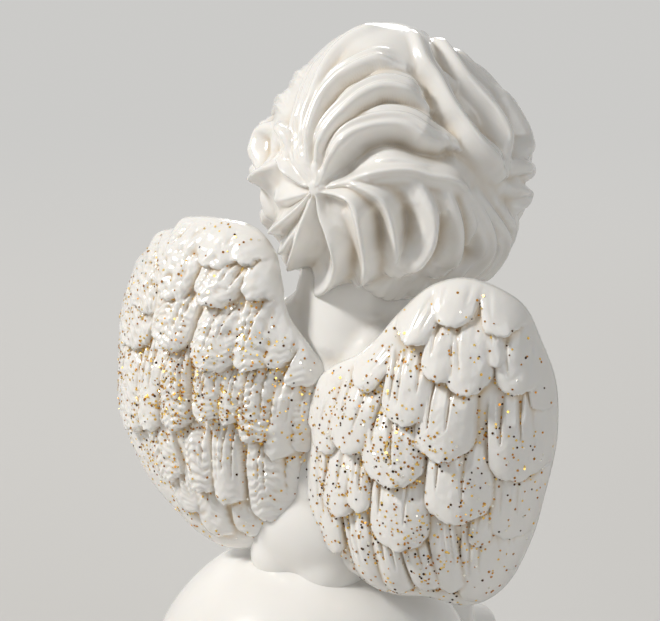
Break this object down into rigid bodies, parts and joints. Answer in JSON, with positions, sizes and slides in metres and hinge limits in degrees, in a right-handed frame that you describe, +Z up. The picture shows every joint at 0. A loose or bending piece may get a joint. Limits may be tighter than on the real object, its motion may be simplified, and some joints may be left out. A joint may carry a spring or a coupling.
{
  "type": "seated angel figurine",
  "caption": "Glossy white cast-resin angel child with curled hair and glitter-flecked feathered wings, seated on a ball that stands on a felt pad",
  "frame": {"origin": "centre of the underside of the felt pad, on the surface that the figurine stands on", "axes": "+Z up; the figure faces -Y, so its wings are on the +Y side; +X is the figure's left"},
  "size_m": [0.0573, 0.0518, 0.0973],
  "materials": {
    "white_resin": "glossy cast polyester resin, white",
    "glitter_resin": "glossy white cast resin brushed with clear lacquer and gold glitter",
    "steel_pin": "plain drawn steel",
    "felt": "brown-grey wool felt"
  },
  "bodies": {
    "root": {"ball_base": "white_resin", "base_felt_pad": "felt", "torso": "white_resin", "head": "white_resin", "left_leg": "white_resin", "right_leg": "white_resin", "left_arm": "white_resin", "right_arm": "white_resin", "left_wing": "glitter_resin", "right_wing": "glitter_resin", "seat_dowel": "steel_pin", "neck_dowel": "steel_pin", "left_arm_pin": "steel_pin", "right_arm_pin": "steel_pin", "left_leg_pin": "steel_pin", "right_leg_pin": "steel_pin", "left_wing_pin_upper": "steel_pin", "left_wing_pin_lower": "steel_pin", "right_wing_pin_upper": "steel_pin", "right_wing_pin_lower": "steel_pin"}
  },
  "joints": []
}
